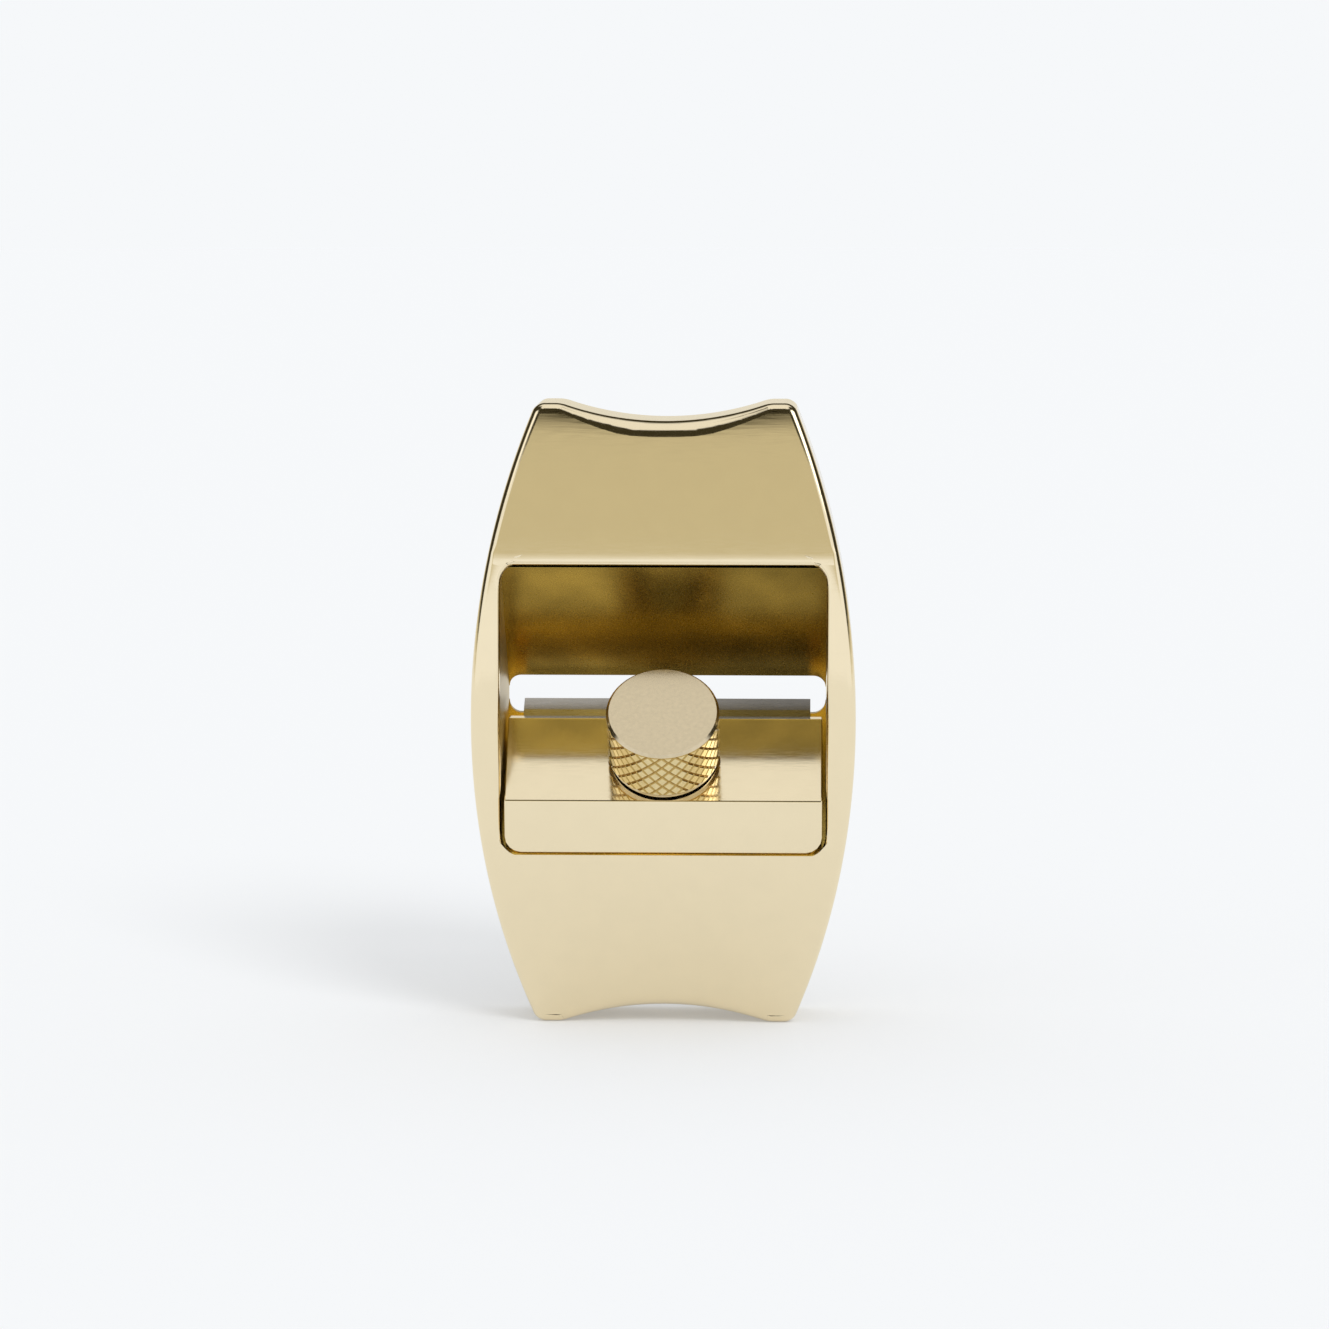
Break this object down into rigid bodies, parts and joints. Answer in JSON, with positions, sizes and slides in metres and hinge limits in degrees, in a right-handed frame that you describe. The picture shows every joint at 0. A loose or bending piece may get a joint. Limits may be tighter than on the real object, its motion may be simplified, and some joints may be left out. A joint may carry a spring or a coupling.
{
  "type": "pencil plane",
  "caption": "Pocket hand plane for sharpening pencils: solid brass barrel-shaped body, angled steel blade, clamp block and knurled thumbscrew.",
  "frame": {"origin": "on the floor under the standing plane's heel, below the middle of its width and halfway between the sole and the thumbscrew's highest point", "axes": "+Z from heel to toe along the plane's length, +Y out of the flat sole, +X across the width, to the right of a viewer who faces the thumbscrew"},
  "size_m": [0.0366, 0.0188, 0.06],
  "materials": {
    "brass": "fine satin polish, lightly brushed across the width",
    "blade_steel": "ground",
    "screw_steel": "turned"
  },
  "bodies": {
    "plane_body": {"body": "brass"},
    "blade": {"blade": "blade_steel"},
    "clamp": {"clamp": "brass"},
    "screw_carrier": {"washer": "brass"},
    "thumbscrew": {"knob": "brass", "stud": "screw_steel"}
  },
  "joints": [
    {"name": "screw_lift", "type": "slide", "parent": "plane_body", "child": "screw_carrier", "axis": [0, -0.7071, 0.7071], "range_m": [0, 0.0049]},
    {"name": "screw_turn", "type": "hinge", "parent": "screw_carrier", "child": "thumbscrew", "pos_m": [0, 0.0021, 0.0232], "axis": [0, -0.7071, 0.7071], "range_deg": [0, 2521]},
    {"name": "clamp_lift", "type": "slide", "parent": "plane_body", "child": "clamp", "axis": [0, -0.7071, 0.7071], "range_m": [0, 0.0023]},
    {"name": "blade_slide", "type": "slide", "parent": "plane_body", "child": "blade", "axis": [0, 0.7071, 0.7071], "range_m": [-0.001, 0.0005]}
  ],
  "couplings": [
    {"joint": "screw_turn", "follows": "screw_lift", "rad_per_m": 8976},
    {"joint": "clamp_lift", "follows": "screw_lift", "ratio": 0.45}
  ]
}
